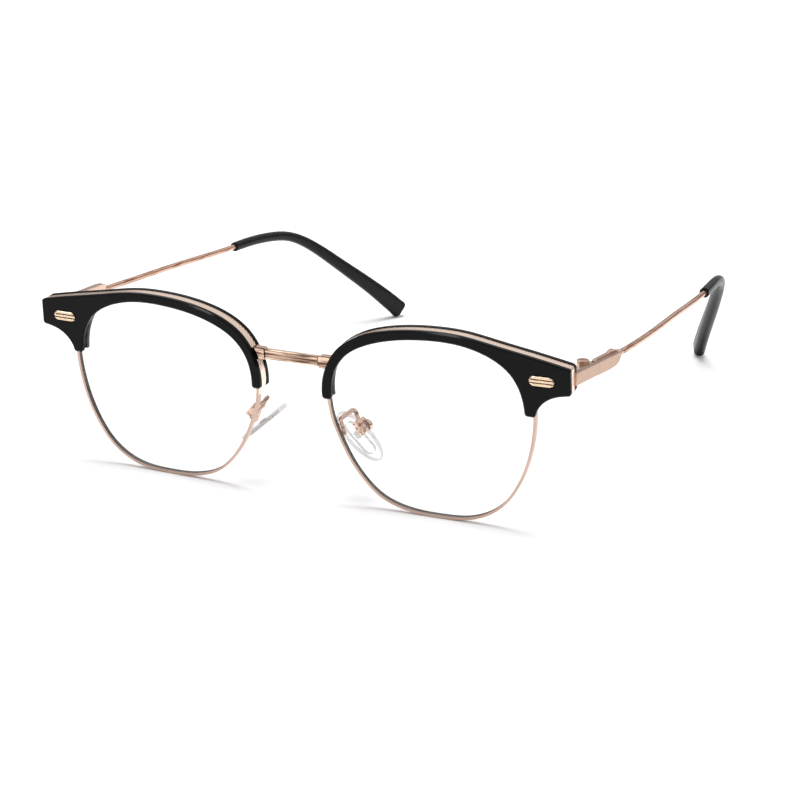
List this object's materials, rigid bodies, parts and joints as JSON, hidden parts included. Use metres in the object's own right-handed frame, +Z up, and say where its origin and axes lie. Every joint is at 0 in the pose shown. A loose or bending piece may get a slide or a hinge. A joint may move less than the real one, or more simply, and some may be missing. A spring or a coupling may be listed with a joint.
{
  "type": "half rim eyeglasses",
  "caption": "Browline eyeglasses with black brow bars over thin rose gold rims, clear lenses, soft nose pads and folding temples.",
  "frame": {"origin": "middle of the bounding box at the height of the surface that the open glasses stand on", "axes": "+X towards the wearer's left, +Y from the lenses back towards the temple tips, +Z up; the fronts of the lenses face -Y"},
  "size_m": [0.1398, 0.1576, 0.0456],
  "materials": {
    "brow_black": "smooth black acetate with a soft gloss",
    "tip_black": "satin dark charcoal acetate",
    "band_gold": "polished rose gold with a fine diagonal knurl",
    "rim_gold": "polished rose gold plating",
    "bridge_gold": "polished rose gold plating",
    "rivet_gold": "satin rose gold, ridged lengthwise",
    "satin_gold": "satin brushed rose gold",
    "hinge_gold": "satin rose gold, lightly machined",
    "wire_gold": "drawn rose gold wire",
    "arm_gold": "rose gold plating, lightly worn",
    "screw_gold": "turned rose gold screw heads",
    "gasket_dark": "dark nylon lens lining",
    "lens_clear": "clear coated lens",
    "core_clear": "clear hard plastic insert",
    "pad_clear": "clear soft silicone"
  },
  "bodies": {
    "front": {"bridge": "bridge_gold", "brow_screws": "screw_gold", "brow_front_left": "brow_black", "brow_front_right": "brow_black", "brow_band_left": "band_gold", "brow_band_right": "band_gold", "brow_back_left": "brow_black", "brow_back_right": "brow_black", "rim_left": "rim_gold", "rim_right": "rim_gold", "lens_gasket_left": "gasket_dark", "lens_gasket_right": "gasket_dark", "lens_left": "lens_clear", "lens_right": "lens_clear", "rivet_left": "rivet_gold", "rivet_right": "rivet_gold", "bridge_end_left": "bridge_gold", "bridge_end_right": "bridge_gold", "end_piece_left": "satin_gold", "end_piece_right": "satin_gold", "hinge_front_left": "hinge_gold", "hinge_front_right": "hinge_gold", "hinge_screw_left": "screw_gold", "hinge_screw_right": "screw_gold", "rim_lock_left": "rim_gold", "rim_lock_right": "rim_gold", "rim_screw_left": "screw_gold", "rim_screw_right": "screw_gold", "pad_arm_left": "arm_gold", "pad_arm_right": "arm_gold", "pad_box_left": "arm_gold", "pad_box_right": "arm_gold", "pad_screw_left": "screw_gold", "pad_screw_right": "screw_gold"},
    "temple_left": {"hinge_temple_left": "hinge_gold", "temple_plate_left": "satin_gold", "temple_wire_left": "wire_gold", "temple_tip_left": "tip_black"},
    "temple_right": {"hinge_temple_right": "hinge_gold", "temple_plate_right": "satin_gold", "temple_wire_right": "wire_gold", "temple_tip_right": "tip_black"},
    "pad_left": {"pad_core_left": "core_clear", "nose_pad_left": "pad_clear"},
    "pad_right": {"pad_core_right": "core_clear", "nose_pad_right": "pad_clear"}
  },
  "joints": [
    {"name": "hinge_left", "type": "hinge", "parent": "front", "child": "temple_left", "pos_m": [0.06605, -0.0638, 0.037], "axis": [0, 0, 1], "range_deg": [0, 87]},
    {"name": "hinge_right", "type": "hinge", "parent": "front", "child": "temple_right", "pos_m": [-0.06605, -0.0638, 0.037], "axis": [0, 0, -1], "range_deg": [0, 77]},
    {"name": "pad_tilt_left", "type": "hinge", "parent": "front", "child": "pad_left", "pos_m": [0.01448, -0.06917, 0.01732], "axis": [0.105, 0.994, 0.03], "range_deg": [-8, 8]},
    {"name": "pad_tilt_right", "type": "hinge", "parent": "front", "child": "pad_right", "pos_m": [-0.01448, -0.06917, 0.01732], "axis": [0.105, -0.994, -0.03], "range_deg": [-8, 8]}
  ]
}
